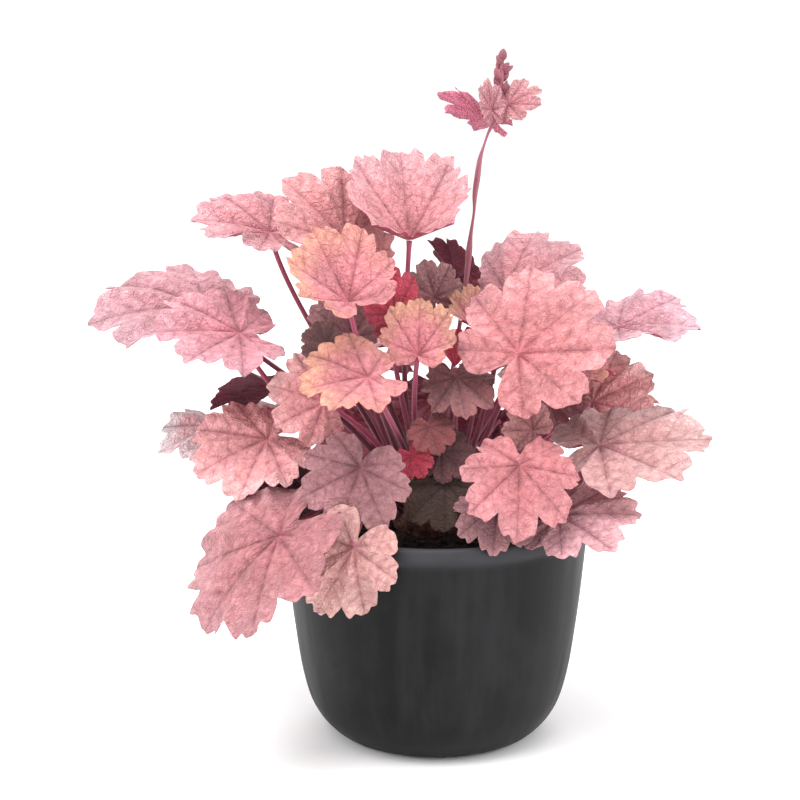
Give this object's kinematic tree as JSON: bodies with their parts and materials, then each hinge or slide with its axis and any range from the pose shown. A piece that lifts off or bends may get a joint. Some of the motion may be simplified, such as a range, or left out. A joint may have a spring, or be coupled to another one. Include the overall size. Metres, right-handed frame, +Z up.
{
  "type": "potted heuchera plant",
  "caption": "Heuchera in a round nursery pot: lobed, toothed leaves on thin stalks rise in a low dome from a short crown, with a thin stem of closed buds above them.",
  "frame": {"origin": "centre of the flat underside of the pot", "axes": "+Z up out of the pot, -Y towards the side of the plant that the picture shows, +X to its right"},
  "size_m": [0.3903, 0.2682, 0.4385],
  "materials": {
    "black_plastic": "matt, dusty at the rim",
    "compost": "rough, crumbly",
    "rootstock": "rough, scaly",
    "stem_skin": "downy stem, closed buds and bract leaves",
    "leaf_bright": "satin leaf with sunken veins",
    "leaf_crimson": "satin leaf with sunken veins",
    "leaf_dark": "satin leaf with sunken veins",
    "leaf_mauve": "satin leaf with sunken veins",
    "leaf_olive": "satin leaf with sunken veins",
    "leaf_orange": "satin leaf with sunken veins",
    "leaf_pink": "satin leaf with sunken veins",
    "leaf_purple": "satin leaf with sunken veins",
    "leaf_rose": "satin leaf with sunken veins",
    "leaf_yellow": "satin leaf with sunken veins"
  },
  "bodies": {
    "root": {"pot": "black_plastic", "soil": "compost", "crown": "rootstock", "flower_stem": "stem_skin", "leaf_01": "leaf_pink", "leaf_02": "leaf_pink", "leaf_03": "leaf_bright", "leaf_04": "leaf_orange", "leaf_05": "leaf_pink", "leaf_06": "leaf_pink", "leaf_07": "leaf_mauve", "leaf_08": "leaf_dark", "leaf_09": "leaf_orange", "leaf_10": "leaf_rose", "leaf_11": "leaf_mauve", "leaf_12": "leaf_purple", "leaf_13": "leaf_pink", "leaf_14": "leaf_rose", "leaf_15": "leaf_mauve", "leaf_16": "leaf_purple", "leaf_17": "leaf_rose", "leaf_18": "leaf_crimson", "leaf_19": "leaf_olive", "leaf_20": "leaf_bright", "leaf_21": "leaf_mauve", "leaf_22": "leaf_mauve", "leaf_23": "leaf_pink", "leaf_24": "leaf_rose", "leaf_25": "leaf_bright", "leaf_26": "leaf_pink", "leaf_27": "leaf_pink", "leaf_28": "leaf_yellow", "leaf_29": "leaf_crimson", "leaf_30": "leaf_yellow", "leaf_31": "leaf_mauve", "leaf_32": "leaf_crimson", "leaf_33": "leaf_mauve", "leaf_34": "leaf_rose", "leaf_35": "leaf_orange", "leaf_36": "leaf_rose", "leaf_37": "leaf_dark", "leaf_38": "leaf_purple", "leaf_39": "leaf_purple", "leaf_40": "leaf_rose", "leaf_41": "leaf_pink", "leaf_42": "leaf_rose", "leaf_43": "leaf_pink", "leaf_44": "leaf_mauve", "leaf_45": "leaf_pink", "leaf_46": "leaf_bright", "leaf_47": "leaf_pink"}
  },
  "joints": []
}
